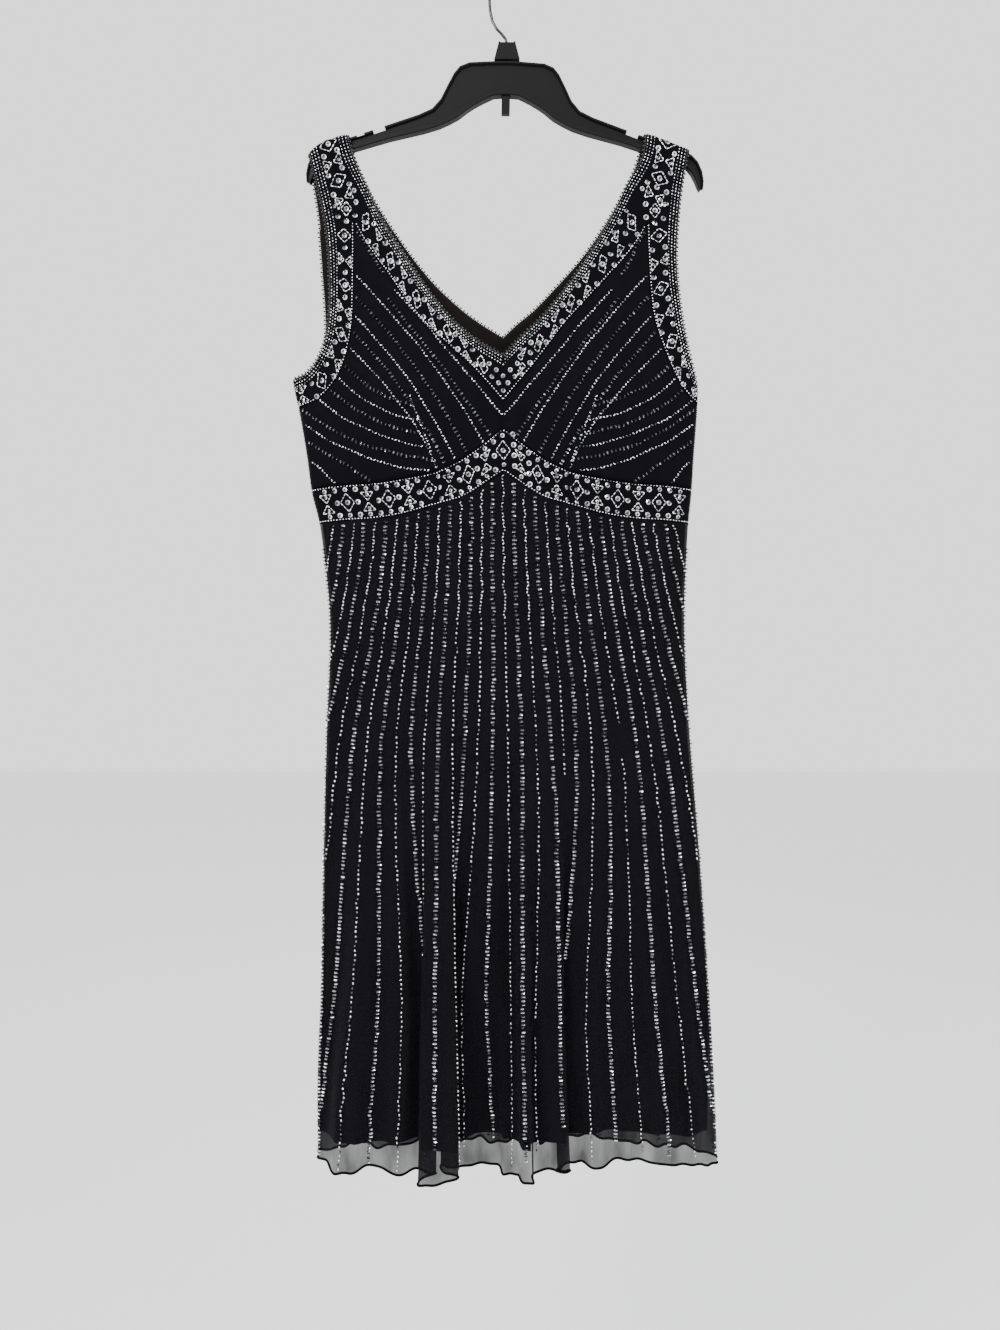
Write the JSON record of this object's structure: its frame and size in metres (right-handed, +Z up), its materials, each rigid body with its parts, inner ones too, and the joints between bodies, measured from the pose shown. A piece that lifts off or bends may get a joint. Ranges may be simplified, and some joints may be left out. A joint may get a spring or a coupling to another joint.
{
  "type": "beaded dress on a hanger",
  "caption": "Sleeveless V-neck dress with beaded bands, hanging bead rows and a sheer flared hem over a lining, held by a plastic hanger with a wire hook.",
  "frame": {"origin": "inner top of the hanger's hook, where the rail, nail or door hook that carries it touches", "axes": "+Z up along the hanging dress; the front of the dress faces -Y; +X to the right, seen from the front"},
  "size_m": [0.4753, 0.107, 1.3037],
  "materials": {
    "bodice_cloth": "matte black mesh cloth",
    "band_beadwork": "black cloth under dense silver and black beads",
    "skirt_chiffon": "sheer black chiffon",
    "lining_cloth": "opaque black lining cloth",
    "silver_beads": "bright silver-lined beads and sequins",
    "black_beads": "glossy black seed beads",
    "hanger_plastic": "satin moulded black plastic",
    "hook_steel": "plated steel wire",
    "clip_plastic": "black plastic"
  },
  "bodies": {
    "root": {"bodice_front_left": "bodice_cloth", "bodice_front_right": "bodice_cloth", "bodice_back_left": "bodice_cloth", "bodice_back_right": "bodice_cloth", "neck_band_front_left": "band_beadwork", "neck_band_front_right": "band_beadwork", "neck_band_back_left": "band_beadwork", "neck_band_back_right": "band_beadwork", "armhole_band_front_left": "band_beadwork", "armhole_band_front_right": "band_beadwork", "armhole_band_back_left": "band_beadwork", "armhole_band_back_right": "band_beadwork", "midriff_band_front": "band_beadwork", "midriff_band_back": "band_beadwork", "skirt_front": "skirt_chiffon", "skirt_back": "skirt_chiffon", "lining_front": "lining_cloth", "lining_back": "lining_cloth", "hanger_body": "hanger_plastic", "hanger_hook": "hook_steel", "size_clip": "clip_plastic"}
  },
  "joints": []
}
